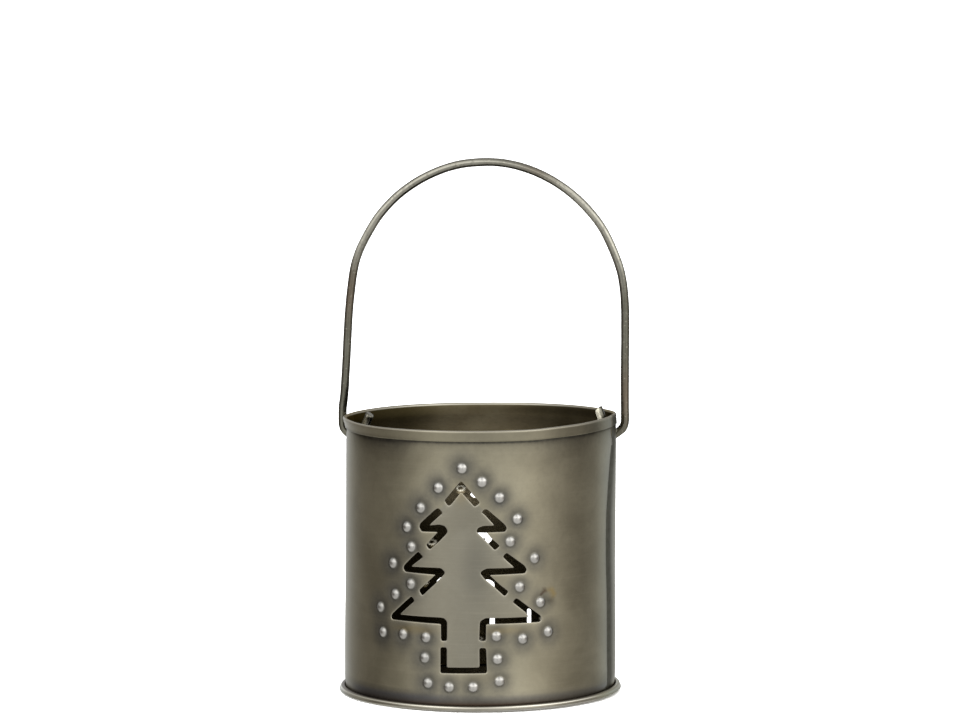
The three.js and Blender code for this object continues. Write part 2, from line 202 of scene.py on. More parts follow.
# ---- node helpers ---------------------------------------------------------------
class Nodes:
    """Short hand for building a node tree."""

    def __init__(self, tree):
        self.tree = tree
        tree.nodes.clear()

    def add(self, kind, **props):
        n = self.tree.nodes.new(kind)
        for k, v in props.items():
            setattr(n, k, v)
        return n

    def put(self, socket, value):
        if value is None:
            return
        if isinstance(value, bpy.types.NodeSocket):
            self.tree.links.new(value, socket)
        else:
            socket.default_value = value

    def math(self, op, a, b=None, c=None, clamp=False):
        n = self.add("ShaderNodeMath", operation=op, use_clamp=clamp)
        for s, v in zip(n.inputs, (a, b, c)):
            self.put(s, v)
        return n.outputs[0]

    def mix(self, fac, a, b, blend="MIX"):
        n = self.add("ShaderNodeMix", data_type="RGBA", blend_type=blend, clamp_factor=True)
        self.put(n.inputs[0], fac)
        self.put(n.inputs[6], a)
        self.put(n.inputs[7], b)
        return n.outputs[2]

    def attr(self, name):
        return self.add("ShaderNodeAttribute", attribute_name=name).outputs["Fac"]

    def noise(self, vector, scale, detail=3.0, rough=0.55, distortion=0.0):
        n = self.add("ShaderNodeTexNoise", noise_dimensions="3D")
        self.put(n.inputs["Vector"], vector)
        n.inputs["Scale"].default_value = scale
        n.inputs["Detail"].default_value = detail
        n.inputs["Roughness"].default_value = rough
        n.inputs["Distortion"].default_value = distortion
        return n.outputs["Fac"]

    def span(self, value, a, b, lo=0.0, hi=1.0, kind="SMOOTHSTEP"):
        n = self.add("ShaderNodeMapRange", interpolation_type=kind, clamp=True)
        for s, v in zip(n.inputs, (value, a, b, lo, hi)):
            self.put(s, v)
        return n.outputs[0]

    def ramp(self, fac, stops):
        n = self.add("ShaderNodeValToRGB")
        n.color_ramp.interpolation = "EASE"
        e = n.color_ramp.elements
        while len(e) > 1:
            e.remove(e[-1])
        e[0].position, e[0].color = stops[0][0], stops[0][1]
        for pos, col in stops[1:]:
            x = e.new(pos)
            x.color = col
        self.put(n.inputs[0], fac)
        return n.outputs["Color"]

    def vec(self, x, y, z):
        n = self.add("ShaderNodeCombineXYZ")
        for s, v in zip(n.inputs, (x, y, z)):
            self.put(s, v)
        return n.outputs[0]


def rgb(r, g, b):
    return (r, g, b, 1.0)


def new_material(name):
    m = bpy.data.materials.new(name)
    m.use_nodes = True
    return m, Nodes(m.node_tree)


def close_material(t, colour, roughness, bump=None, bump_strength=0.1, bump_distance=0.0002, metallic=1.0):
    bsdf = t.add("ShaderNodeBsdfPrincipled")
    bsdf.inputs["Metallic"].default_value = metallic
    t.put(bsdf.inputs["Base Color"], colour)
    t.put(bsdf.inputs["Roughness"], roughness)
    if bump is not None:
        b = t.add("ShaderNodeBump")
        b.inputs["Strength"].default_value = bump_strength
        b.inputs["Distance"].default_value = bump_distance
        t.put(b.inputs["Height"], bump)
        t.put(bsdf.inputs["Normal"], b.outputs[0])
    out = t.add("ShaderNodeOutputMaterial")
    t.put(out.inputs["Surface"], bsdf.outputs[0])
    return bsdf


# ---- materials -------------------------------------------------------------------
def sheet_material():
    """Satin antique pewter: warm on the field, greyer on the tree, dark round the dots."""
    m, t = new_material("patina_sheet")
    su, sv = t.attr("su"), t.attr("sv")
    flat = t.vec(t.math("MULTIPLY", su, 0.1), t.math("MULTIPLY", sv, 0.1), 0.0)          # centimetres on the sheet
    streak = t.vec(t.math("MULTIPLY", su, 0.012), t.math("MULTIPLY", sv, 0.55), 0.0)
    cloud = t.noise(flat, 0.62, 4.0, 0.55, 0.4)
    spots = t.noise(flat, 5.5, 3.0, 0.6)
    grain = t.noise(streak, 3.0, 4.0, 0.6)
    halo = t.math("MULTIPLY", t.attr("halo"), t.span(spots, 0.2, 0.75, 0.80, 1.0))
    field = t.mix(t.span(cloud, 0.28, 0.72), rgb(0.238, 0.217, 0.154), rgb(0.297, 0.272, 0.195))
    # painted_sheen: painted light, lighter patches of the field standing in for bright reflections
    field = t.mix(t.attr("painted_sheen"), field, rgb(0.41, 0.374, 0.272))
    panel = t.mix(t.span(cloud, 0.30, 0.70), rgb(0.237, 0.220, 0.168), rgb(0.267, 0.250, 0.195))
    # painted_dark_band: painted shade, a darker band down the middle of the tree panel standing in for a dark
    # reflection
    panel = t.mix(t.attr("painted_dark_band"), panel, rgb(0.138, 0.133, 0.109))
    colour = t.mix(t.attr("panel"), field, panel)
    colour = t.mix(t.math("MULTIPLY", t.span(spots, 0.42, 0.72), 0.13), colour, rgb(0.185, 0.165, 0.125))
    colour = t.mix(t.math("MULTIPLY", t.span(grain, 0.50, 0.75), 0.11), colour, rgb(0.40, 0.36, 0.28))
    colour = t.mix(t.attr("cool"), colour, rgb(0.168, 0.168, 0.160))
    # cold: bluish darkening just above the bead, partly patina and partly painted reflection and shade
    colour = t.mix(t.attr("cold"), colour, rgb(0.152, 0.155, 0.172))
    colour = t.mix(halo, colour, rgb(0.071, 0.070, 0.065))
    colour = t.mix(t.attr("tint"), colour, rgb(0.290, 0.222, 0.098))
    # dirt_and_shade: mostly painted shade under the hem, above the bead, by the seam and on the hem, plus real smudges
    dirt_and_shade = t.math("MULTIPLY", t.attr("dirt_and_shade"), t.span(spots, 0.2, 0.8, 0.85, 1.0))
    colour = t.mix(dirt_and_shade, colour, rgb(0.037, 0.035, 0.030))
    colour = t.mix(t.attr("rust"), colour, rgb(0.072, 0.046, 0.030))
    colour = t.mix(t.attr("edge"), colour, rgb(0.46, 0.43, 0.36))
    colour = t.mix(t.attr("dome"), colour, rgb(0.470, 0.459, 0.432))
    rough = t.span(cloud, 0.2, 0.8, 0.33, 0.40, "LINEAR")
    rough = t.math("ADD", rough, t.math("MULTIPLY", halo, 0.08))
    rough = t.math("ADD", rough, t.math("MULTIPLY", t.attr("dome"), -0.165))
    rough = t.math("ADD", rough, t.span(grain, 0.3, 0.7, -0.02, 0.02, "LINEAR"))
    bump = t.math("ADD", t.math("MULTIPLY", grain, 0.3), t.noise(flat, 11.0, 3.0, 0.6))
    bsdf = close_material(t, colour, rough, bump, 0.06, 0.0002)
    t.put(bsdf.inputs["Specular Tint"], t.mix(dirt_and_shade, rgb(1, 1, 1), rgb(0.22, 0.22, 0.21)))   # painted shade and dirt take the sheen off at a glance
    return m


def lining_material():
    """Inside of the drum: duller, browner, with painted shade darker towards the sides and painted light on lighter
    patches.
    """
    m, t = new_material("patina_inside")
    su, sv = t.attr("su"), t.attr("sv")
    flat = t.vec(t.math("MULTIPLY", su, 0.1), t.math("MULTIPLY", sv, 0.1), 0.0)
    cloud = t.noise(flat, 0.8, 4.0, 0.55, 0.5)
    spots = t.noise(flat, 7.0, 3.0, 0.6)
    colour = t.mix(t.span(cloud, 0.3, 0.7), rgb(0.172, 0.142, 0.084), rgb(0.204, 0.173, 0.107))
    colour = t.mix(t.math("MULTIPLY", t.span(spots, 0.45, 0.75), 0.25), colour, rgb(0.11, 0.088, 0.046))
    # dirt_and_shade inside: painted shade towards the sides and a painted dark centre in each pit ring
    colour = t.mix(t.attr("dirt_and_shade"), colour, rgb(0.052, 0.041, 0.018))
    # painted_light_inside: painted light, lighter and more diffuse patches of the lining
    colour = t.mix(t.math("MULTIPLY", t.attr("painted_light_inside"), 1.6, clamp=True), colour, rgb(0.40, 0.335, 0.215))
    colour = t.mix(t.attr("edge"), colour, rgb(0.40, 0.378, 0.310))
    # painted_pit_ring: painted highlight, a bright cream ring in each dimple seen from inside
    colour = t.mix(t.attr("painted_pit_ring"), colour, rgb(0.95, 0.92, 0.78))
    rough = t.span(cloud, 0.2, 0.8, 0.40, 0.48, "LINEAR")
    rough = t.math("ADD", rough, t.math("MULTIPLY", t.attr("edge"), -0.12))
    rough = t.math("ADD", rough, t.math("MULTIPLY", t.attr("painted_pit_ring"), -0.28))
    bsdf = close_material(t, colour, rough, spots, 0.06, 0.0002)
    t.put(bsdf.inputs["Metallic"], t.math("SUBTRACT", 1.0, t.attr("painted_light_inside")))
    bsdf.inputs["Specular Tint"].default_value = rgb(0.42, 0.36, 0.26)
    return m


def base_material():
    m, t = new_material("patina_base")
    co = t.add("ShaderNodeTexCoord").outputs["Object"]
    cloud = t.noise(co, 55.0, 4.0, 0.55, 0.4)
    spots = t.noise(co, 520.0, 3.0, 0.6)
    colour = t.mix(t.span(cloud, 0.3, 0.7), rgb(0.252, 0.236, 0.188), rgb(0.306, 0.290, 0.240))
    colour = t.mix(t.math("MULTIPLY", t.span(spots, 0.45, 0.75), 0.30), colour, rgb(0.150, 0.138, 0.108))
    # edge: painted highlight, a bright line along the bead and at its lip on the right
    colour = t.mix(t.attr("edge"), colour, rgb(0.66, 0.630, 0.535))
    colour = t.mix(t.attr("olive"), colour, rgb(0.222, 0.214, 0.125))
    # dirt_and_shade on the base: painted shade over the top of the bead, with dirt in the joint
    colour = t.mix(t.attr("dirt_and_shade"), colour, rgb(0.060, 0.040, 0.026))
    rough = t.math("ADD", t.span(cloud, 0.2, 0.8, 0.28, 0.36, "LINEAR"), t.math("MULTIPLY", t.attr("edge"), -0.08))
    close_material(t, colour, rough, spots, 0.08, 0.0002)
    return m


def wire_material():
    m, t = new_material("bail_wire")
    su, sv = t.attr("su"), t.attr("sv")
    co = t.add("ShaderNodeTexCoord").outputs["Object"]
    along = t.vec(t.math("MULTIPLY", su, 0.03), t.math("MULTIPLY", sv, 0.9), 0.0)
    cloud = t.noise(co, 75.0, 4.0, 0.6, 0.3)
    brown = t.noise(co, 38.0, 2.0, 0.5, 0.2)
    specks = t.noise(co, 900.0, 2.0, 0.6)
    sparks = t.noise(co, 1150.0, 1.0, 0.5)
    drawn = t.noise(along, 2.6, 3.0, 0.55)
    leg = t.mix(t.span(cloud, 0.32, 0.68), rgb(0.108, 0.104, 0.080), rgb(0.150, 0.146, 0.116))
    arch = t.mix(t.span(cloud, 0.32, 0.68), rgb(0.186, 0.178, 0.146), rgb(0.248, 0.240, 0.202))
    # rubbed_and_lit: the upper arch lighter than the legs, partly wear and partly painted light
    colour = t.mix(t.attr("rubbed_and_lit"), leg, arch)
    # painted_shine: painted highlight on the shoulders and along the top of the arch
    colour = t.mix(t.math("MULTIPLY", t.attr("painted_shine"), 0.62), colour, rgb(0.370, 0.356, 0.300))
    colour = t.mix(t.math("MULTIPLY", t.attr("brown"), t.span(brown, 0.30, 0.55, 0.5, 1.0)), colour, rgb(0.152, 0.112, 0.080))
    colour = t.mix(t.math("MULTIPLY", t.span(drawn, 0.48, 0.75), 0.24), colour, rgb(0.33, 0.32, 0.265))
    colour = t.mix(t.math("MULTIPLY", t.span(specks, 0.50, 0.70), 0.34), colour, rgb(0.080, 0.074, 0.056))
    # inner: painted shade on the inside and underside of the loop, the dark side of each hook and the top of the left
    # hook
    colour = t.mix(t.attr("inner"), colour, rgb(0.036, 0.033, 0.025))
    colour = t.mix(t.math("MULTIPLY", t.span(sparks, 0.66, 0.74), 0.28), colour, rgb(0.55, 0.52, 0.43))
    # tip: bare metal on the cut ends, plus painted highlight down the lit side of each hook
    colour = t.mix(t.attr("tip"), colour, rgb(0.90, 0.85, 0.68))
    rough = t.math("ADD", t.span(cloud, 0.2, 0.8, 0.17, 0.25, "LINEAR"), t.math("MULTIPLY", t.span(specks, 0.5, 0.7), 0.07))
    rough = t.math("ADD", rough, t.math("MULTIPLY", t.attr("brown"), 0.10))
    rough = t.math("ADD", rough, t.math("MULTIPLY", t.attr("rubbed_and_lit"), -0.03))
    bump = t.math("ADD", drawn, t.math("MULTIPLY", specks, 0.6))
    rough = t.math("ADD", rough, t.math("MULTIPLY", t.attr("tip"), 0.20))
    bsdf = close_material(t, colour, rough, bump, 0.10, 0.0002)
    t.put(bsdf.inputs["Metallic"], t.math("SUBTRACT", 1.0, t.math("MULTIPLY", t.attr("tip"), 0.48)))
    return m


# ---- the wall: one strip, drawn flat and rolled ------------------------------------
def section(v):
    """Radius, height and outer-face normal of the strip's middle at developed height v."""
    v = np.asarray(v, float)
    up = np.maximum(v - Z_FOLD, 0)
    a = np.clip(up / RHO_H, 0, PI)
    dn = np.maximum(Z_FOOT - v, 0)
    b = np.clip(dn / RHO_F, 0, PI / 2)
    past = np.maximum(0, up - PI * RHO_H)
    r = RM + RHO_H * (1 - np.cos(a)) + RHO_F * (1 - np.cos(b)) + np.maximum(0, dn - PI / 2 * RHO_F)
    r = r - 0.16 * smooth(0.0, 3.06, past)                       # the hem closes on the wall at its edge
    z = np.where(up > 0, Z_FOLD + RHO_H * np.sin(a) - past, np.where(dn > 0, Z_FOOT - RHO_F * np.sin(b), v))
    r = r + 0.12 * np.clip((z - 90.3) / 1.8, 0, 1) ** 2            # slight bell at the mouth
    nr = np.cos(a) * np.cos(b)
    nz = -np.sin(a) + np.sin(b)
    return r, z, nr, nz


def lap_edge(z):
    """Where the outer end of the strip stops, in degrees round from the front."""
    return np.interp(z, [0, 9, 18, 33, 45, 54, 62, 72, 80, 84], [75.6, 75.5, 75.1, 75.2, 74.3, 74.1, 74.4, 76.4, 78.6, 80.3])


def wall_shift(x, v):
    """Outward offset of the strip: the lap, hand-made unevenness, and the pull of the hem."""
    deg = np.degrees(x / R0)
    phi = x / R0
    cam = phi - math.radians(CAM_AZ)
    z = section(v)[1]
    over = 0.13 * smooth(418.0, 428.0, deg)
    under = -0.40 * (1 - smooth(83.5, 90.0, deg))
    lap = np.where(deg > 200, over, under) * (1 - smooth(NOTCH_V + 0.3, NOTCH_V + 2.4, z)) * smooth(1.4, 3.3, z)
    h = np.clip(z / 92.0, 0, 1)
    wide = 0.27 * np.sin(cam) ** 2 * (1 - smooth(14, 46, z)) * smooth(2.0, 5.5, z)
    wave = (0.05 * np.sin(cam) - 0.045 * np.cos(2 * cam) + 0.05 * np.sin(3 * phi + 2.1) * h + 0.035 * np.sin(5 * phi - 0.5) * np.sin(PI * h)
            + 0.025 * np.sin(9 * phi + 1.3) * np.sin(2 * PI * h)) * smooth(2.5, 9, z)
    top = smooth(88.2, 92.0, z)
    side = np.remainder(np.degrees(phi) + 80 + 180, 360) - 180
    lean = (0.36 * h ** 2 - 0.41 * top) * np.sin(cam) + 0.17 * top * np.exp(-(side / 16) ** 2)
    end = np.where(deg < 200, smooth(80, 84, deg) * (1 - smooth(97, 106, deg)), 0) * smooth(87.9, 88.7, z)
    pull = 0.26 - 0.14 * np.exp(-((np.remainder(np.degrees(cam) + 180, 360) - 180 - 86) / 14) ** 2)
    return lap + wave + wide + lean - pull * smooth(83.8, 88.4, z) - 0.20 * end


def rim_lift(phi):
    """How far the rim stands above its level, by angle round the drum."""
    deg = np.degrees(np.asarray(phi, float)) - CAM_AZ
    at = np.array(RIM_LIFT)
    total = 0
    for off in (-3.0, -1.5, 0.0, 1.5, 3.0):
        total = total + np.interp(np.remainder(deg + off + 180, 360) - 180, at[:, 0], at[:, 1])
    return total / 5


def wall_lift(x, v):
    """Height offset of the strip, growing towards the rim."""
    return rim_lift(np.asarray(x) / R0) * smooth(81.0, 88.2, section(v)[1])


def build_wall():
    slit_loops, hole_loops = [], []
    for cx in (FRONT_X, REAR_X):
        for s in SLITS:
            if cx == REAR_X:                                     # the rear tree is cut a little finer and stands slightly turned
                if s is SLITS[2]:                                # one slit is blunter at its tip and narrower below
                    s = s[:4] + [[13.2, 58.95]] + s[5:8] + [[10.95, 53.2], [7.25, 57.05]] + s[10:]
                q = np.array(s) * [1.0075, 0.994] - [0, 40]
                q = np.column_stack([q[:, 0] + 0.0054 * q[:, 1], q[:, 1] - 0.0054 * q[:, 0] + 40.07])
                s = drawn_in(q, 0.14 if s is SLITS[4] else 0.29)
            loop = rounded(s, 0.55)
            loop[:, 0] += cx
            slit_loops.append(resampled(loop, 0.42))
    for deg, z0, r0 in HOLES:
        hx = R0 * math.radians(deg)
        hv = z0
        for _ in range(12):
            hv = z0 - float(wall_lift(hx, hv))
        a = np.linspace(0, 2 * PI, 32, endpoint=False)
        hole_loops.append(np.column_stack([hx + r0 * np.cos(a), hv + r0 * np.sin(a)]))
    dots = np.array([[FRONT_X + u, v] for u, v in FRONT_DOTS] + [[REAR_X + u, v] for u, v in REAR_DOTS])
    cuts = slit_loops + hole_loops

    # Rows that follow the hem fold and the foot bend.
    hem_rows = [86.5, 87.1, 87.6, 88.0, 88.25, 88.5, Z_FOLD - 2.2, Z_FOLD - 1.5, Z_FOLD - 0.95, Z_FOLD - 0.65, Z_FOLD - 0.3] + [Z_FOLD + RHO_H * math.radians(k) for k in (0, 25, 50, 75, 100, 125, 150, 180)]
    hem_rows += [Z_FOLD + PI * RHO_H + k for k in (0.3, 0.8, 1.4, 2.0, 2.55, 2.9)]
    foot_rows = [FOOT_END + 0.2] + [Z_FOOT - RHO_F * math.radians(k) for k in (90, 60, 30, 0)] + [Z_FOOT + 0.25, Z_FOOT + 0.8, Z_FOOT + 1.5]
    turn = R0 * 2 * PI
    x_under = R0 * math.radians(68.0)
    hem_at = lambda v: R0 * math.radians(float(np.interp(v, [NOTCH_V, 88.4], [81.4, 79.8])))   # the butt joint slants to the hem
    x_foot = R0 * math.radians(74.6)
    slim = 0.015
    lap_x = lambda v: R0 * np.radians(lap_edge(section(v)[1])) + turn
    hem_x = lambda v: np.linspace(hem_at(v) + slim, hem_at(v) + turn - slim, 228)
    foot_x = np.linspace(x_foot + slim, x_foot + turn - slim, 228)

    free = [np.column_stack([hem_x(v)[1:-1], np.full(226, v)]) for v in hem_rows]
    free = [q[distance(q, hole_loops) > 0.35] for q in free]
    free += [np.column_stack([foot_x[1:-1], np.full(len(foot_x) - 2, v)]) for v in foot_rows]
    # Even spread over the wall.
    step = 1.55
    rows = np.arange(foot_rows[-1] + 1.2, hem_rows[0] - 0.9, step * 0.866)
    grid = []
    for k, v in enumerate(rows):
        x0, x1 = (x_under, float(lap_x(v))) if v < NOTCH_V else (hem_at(v), hem_at(v) + turn)
        xs = np.arange(x0 + 0.9 + (step / 2 if k % 2 else 0), x1 - 0.7, step)
        grid.append(np.column_stack([xs, np.full(len(xs), v)]))
    grid = np.vstack(grid)
    far = np.ones(len(grid), bool)
    for d in dots:
        far &= np.hypot(grid[:, 0] - d[0], grid[:, 1] - d[1]) > 4.5
    grid = grid[far]
    grid = grid[distance(grid, cuts) > 1.45]
    by_lap = grid[:, 0] - lap_x(grid[:, 1])
    grid = grid[~((grid[:, 1] < NOTCH_V) & (((by_lap > -2.1) & (by_lap < 0)) | (np.abs(by_lap + turn - 0.6) < 1.7)))]
    free.append(grid)
    # Rings round each dot.
    ring_r = [0.0, 0.30, 0.60, 0.88, 1.12, 1.32, 1.47, 1.58, 1.69, 1.84, 2.06, 2.48, 3.1, 4.0]
    ring_n = [1, 8, 14, 20, 24, 28, 30, 30, 28, 26, 24, 22, 20, 18]
    rings = []
    for d in dots:
        for r, n in zip(ring_r, ring_n):
            a = np.linspace(0, 2 * PI, n, endpoint=False) + rng.random() * 0.3
            rings.append(np.column_stack([d[0] + r * np.cos(a), d[1] + r * np.sin(a)]))
    rings = np.vstack(rings)
    rings = rings[distance(rings, cuts) > 0.30]
    free.append(rings)
    # Rings along each cut.
    for loop in cuts:
        t = np.roll(loop, -1, axis=0) - np.roll(loop, 1, axis=0)
        nrm = np.column_stack([t[:, 1], -t[:, 0]])
        nrm /= np.linalg.norm(nrm, axis=1)[:, None]
        if inside(loop[:1] + nrm[:1] * 0.05, loop)[0]:
            nrm = -nrm
        for off, skip in ((0.09, 1), (0.22, 1), (0.5, 1), (0.95, 2)):
            p = (loop + nrm * off)[::skip]
            p = p[distance(p, cuts) > off * 0.8]
            near_dot = np.min(np.hypot(p[:, None, 0] - dots[None, :, 0], p[:, None, 1] - dots[None, :, 1]), axis=1) < 2.1 if len(p) else np.zeros(0, bool)
            free.append(p[~near_dot])
    # Rows along the lap, on the upper and on the covered sheet.
    v_low = 3.4
    lap_v = np.arange(v_low + 0.6, NOTCH_V - 0.4, 0.62)
    free += [np.column_stack([lap_x(lap_v) - off, lap_v]) for off in (0.10, 0.28, 0.60, 1.05, 1.6)]
    free += [np.column_stack([lap_x(lap_v) - turn + off, lap_v]) for off in (-0.6, -0.25, 0.0, 0.18, 0.40, 0.75, 1.2, 1.8)]
    free = np.vstack(free)
    ok = ~np.any([inside(free, c) for c in cuts], axis=0)
    free = free[ok]

    # Outline of the strip: butt ends at the foot and the hem, a long lap between them.
    outline = [[x, FOOT_END] for x in foot_x]
    outline += [[foot_x[-1], v] for v in np.arange(FOOT_END + 0.5, v_low - 0.3, 0.6)] + [[foot_x[-1], v_low]]
    outline += [[float(lap_x(v_low)), v_low]] + [[float(lap_x(v)), v] for v in lap_v] + [[float(lap_x(NOTCH_V)), NOTCH_V], [hem_x(NOTCH_V)[-1], NOTCH_V]]
    up_v = [NOTCH_V + k for k in np.arange(1.0, hem_rows[0] - NOTCH_V - 0.4, 1.0)] + hem_rows
    outline += [[hem_x(v)[-1], v] for v in up_v]
    outline += [[x, HEM_END] for x in hem_x(HEM_END)[::-1]]
    outline += [[hem_x(v)[0], v] for v in up_v[::-1]]
    outline += [[x, NOTCH_V] for x in np.linspace(hem_x(NOTCH_V)[0], x_under, 11)]
    outline += [[x_under, v] for v in lap_v[::-1]] + [[x, v_low] for x in np.linspace(x_under, foot_x[0], 6)]
    outline += [[foot_x[0], v] for v in np.arange(FOOT_END + 0.5, v_low - 0.3, 0.6)[::-1]]
    outline = np.array(outline)
    free = free[distance(free, [outline], 2.0) > 0.05]
    free = free[inside(free, outline)]

    pts = [outline] + cuts + [free]
    edges, base = [], 0
    for loop in [outline] + cuts:
        n = len(loop)
        edges += [(base + i, base + (i + 1) % n) for i in range(n)]
        base += n
    pts = np.vstack(pts)
    found = delaunay_2d_cdt([Vector(p) for p in pts.tolist()], edges, [], 0, 1e-6, False)
    uv = np.array([tuple(p) for p in found[0]])
    tri = np.array([f for f in found[2] if len(f) == 3])
    mid = uv[tri].mean(1)
    keep = inside(mid, outline)
    for c in cuts:
        keep &= ~inside(mid, c)
    tri = tri[keep]
    a, b, c = uv[tri[:, 0]], uv[tri[:, 1]], uv[tri[:, 2]]
    area = (b[:, 0] - a[:, 0]) * (c[:, 1] - a[:, 1]) - (b[:, 1] - a[:, 1]) * (c[:, 0] - a[:, 0])
    tri = tri[np.abs(area) > 1e-7]
    area = area[np.abs(area) > 1e-7]
    tri[area < 0] = tri[area < 0][:, ::-1]
    used = np.unique(tri)
    remap = np.full(len(uv), -1)
    remap[used] = np.arange(len(used))
    uv, tri = uv[used], remap[tri]
    n = len(uv)

    # Shape fields on the flat strip.
    x, v = uv[:, 0], uv[:, 1]
    d_slit = distance(uv, slit_loops)
    d_cut = np.minimum(d_slit, distance(uv, hole_loops))
    lapped = (v > v_low) & (v < NOTCH_V)
    d_edge = np.minimum.reduce([d_cut, HEM_END - v, np.where(lapped, np.abs(lap_x(v) - x), 9.0), np.where(lapped, np.abs(x - x_under), 9.0)])
    gap = np.hypot(x[:, None] - dots[None, :, 0], (v[:, None] - dots[None, :, 1]) / 1.03)
    which = gap.argmin(1)
    rho = gap.min(1)
    press = DOT_H * (1 + 0.12 * (rng.random(len(dots))[which] - 0.5))
    q = np.clip(rho / DOT_R, 0, 1)
    dome = press * np.cos(q * PI / 2) ** 0.85
    moat = np.where(which < len(FRONT_DOTS), -0.11, -0.16) * np.exp(-((rho - 2.02) / 0.62) ** 2)
    moat = np.where(rho < 2.02, moat * smooth(1.15, 2.02, rho), moat)
    rolled = -0.06 * np.exp(-(d_slit / 0.6) ** 2)
    r, z, nr, nz = section(v)
    r = r + wall_shift(x, v) + dome + moat + rolled
    z = z + wall_lift(x, v)
    phi = x / R0
    er = np.column_stack([np.sin(phi), -np.cos(phi), np.zeros(n)])
    ez = np.array([0.0, 0.0, 1.0])
    mid3 = er * r[:, None] + ez * z[:, None]
    nrm = er * nr[:, None] + ez * nz[:, None]
    half = T / 2 - 0.13 * np.clip(1 - d_edge / 0.24, 0, 1) ** 2
    outer = mid3 + nrm * half[:, None]
    inner = mid3 - nrm * half[:, None] - er * np.where(which < len(FRONT_DOTS), 0, 0.18 * dome)[:, None]   # the rear pits are shallower inside

    # Rim of the sheet: every edge that belongs to one triangle only.
    e = np.vstack([tri[:, [0, 1]], tri[:, [1, 2]], tri[:, [2, 0]]])
    key = np.sort(e, axis=1)
    _, first, count = np.unique(key, axis=0, return_index=True, return_counts=True)
    rim = e[first[count == 1]]
    faces = [tuple(f) for f in tri.tolist()] + [tuple(f) for f in (tri[:, ::-1] + n).tolist()]
    faces += [(int(j), int(i), int(i) + n, int(j) + n) for i, j in rim]
    past_top = v[tri].mean(1) > Z_FOLD + RHO_H * PI * 0.5
    slots = np.concatenate([np.zeros(len(tri), int), np.where(past_top, 0, 1), np.zeros(len(rim), int)])

    # Finish masks, with painted light and shade among them.
    dx = x[:, None] - dots[None, :, 0]
    dv = v[:, None] - dots[None, :, 1]
    place = np.array(FRONT_DOTS + REAR_DOTS)
    reach = np.where(place[:, 1] > 79, 7.4, np.where(place[:, 0] < -10, 6.9, 5.8)) + 0.8 * (rng.random(len(dots)) - 0.5)
    strength = np.where(place[:, 1] > 58, 0.95, np.where(place[:, 0] < -10, 0.94, 0.84)) * (0.92 + 0.14 * rng.random(len(dots)))
    ring = np.hypot(dx, dv * 0.95 + 0.12)
    halo = (strength[None, :] * np.clip(1 - (ring - 1.5) / (reach[None, :] - 1.5), 0, 1) ** 1.25).max(1)
    rel = np.where(x > R0 * 1.5 * PI, x - FRONT_X, x - REAR_X)
    cool = (0.09 + 0.08 * smooth(4, -16, rel)) * np.exp(-(np.maximum(rho - 2.2, 0) / 4.2) ** 2)
    polish = 1 - smooth(1.30, 1.70, rho)
    polish = polish * (0.82 + 0.18 * rng.random(len(dots))[which]) * np.where(place[:, 1] > 58, 0.96, np.where(place[:, 0] < -10, 0.77, 0.87))[which]
    # Rubbed cut edges round the slits, partly wear and partly painted highlight.
    rubbed_and_lit = np.exp(-np.maximum(d_slit, 0) / 0.24) * 0.42
    panel = np.zeros(n)
    for cx in (FRONT_X, REAR_X):
        loop = np.array(PANEL) + [cx, 0]
        panel = np.maximum(panel, np.where(inside(uv, loop), 1.0, 0.0))
    # Painted shade: a darker band down the middle of the tree panel, standing in for a dark reflection.
    painted_dark_band = np.maximum(0.64 * np.exp(-((rel - 4.2) / 6.0) ** 2 - ((v - 47) / 14) ** 2), 0.28 * np.exp(-((rel - 1.0) / 9.0) ** 2))
    # Painted light: lighter patches of the field right of the tree, low down and near the top, standing in for bright
    # reflections.
    painted_sheen = 0.42 * np.exp(-((rel - 16) / 9) ** 2) * (1 - smooth(7, 22, v))
    painted_sheen = np.maximum(painted_sheen, 0.22 * np.exp(-((rel - 19) / 6) ** 2 - ((v - 74) / 7) ** 2))
    painted_sheen = np.maximum(painted_sheen, 0.32 * np.exp(-((rel - 13) / 5.5) ** 2 - ((v - 78) / 6) ** 2))
    wall_z = section(v)[1]
    on_hem = v > Z_FOLD
    deg = np.degrees(phi)
    cam = np.remainder(deg - CAM_AZ + 180, 360) - 180
    # Painted shade under the hem: a dark line in the crevice below its edge fading down the wall, broader on the left
    # and right, standing in for the hem's shadow, with some dirt in the crevice.
    below = np.maximum(88.45 - wall_z, 0)
    shut = 1 - 0.22 * np.exp(-((cam - 68) / 11) ** 2) - 0.75 * np.exp(-((cam + 80) / 13) ** 2)
    broad = (0.12 + 0.48 * smooth(24, 38, -cam) + 0.28 * smooth(14, 30, cam)) * (1 - smooth(56, 74, np.abs(cam)))
    under_hem = np.clip(0.97 * np.exp(-(below / 0.42) ** 2) + 0.60 * np.exp(-below / 2.1) + broad * np.exp(-below / 6.0), 0, 0.97) * shut
    # Painted shade above the bead: the foot of the wall darker, standing in for shade and dark reflection by the bead,
    # partly patina; less towards the sides, with a short extra darkening low on the right.
    above = np.maximum(wall_z - 2.5, 0)
    tall = 3.3 + 1.1 * smooth(10, 38, -cam)
    above_bead = 0.82 * np.clip(1 - above / tall, 0, 1) ** 0.85 * (1 - 0.62 * smooth(52, 72, -cam)) * (1 - 0.80 * smooth(56, 74, cam))
    above_bead = np.maximum(above_bead, 0.26 * np.exp(-((cam - 64) / 9) ** 2) * (1 - smooth(2.0, 8.5, above)))
    # Bluish darkening just above the bead on the field, fading towards the sides: partly patina, partly painted
    # reflection and shade.
    cold = np.where(on_hem, 0, (0.45 + 0.40 * smooth(8, 24, -cam)) * (1 - smooth(1.5, 3.7, above)) * (1 - smooth(60, 76, np.abs(cam))))
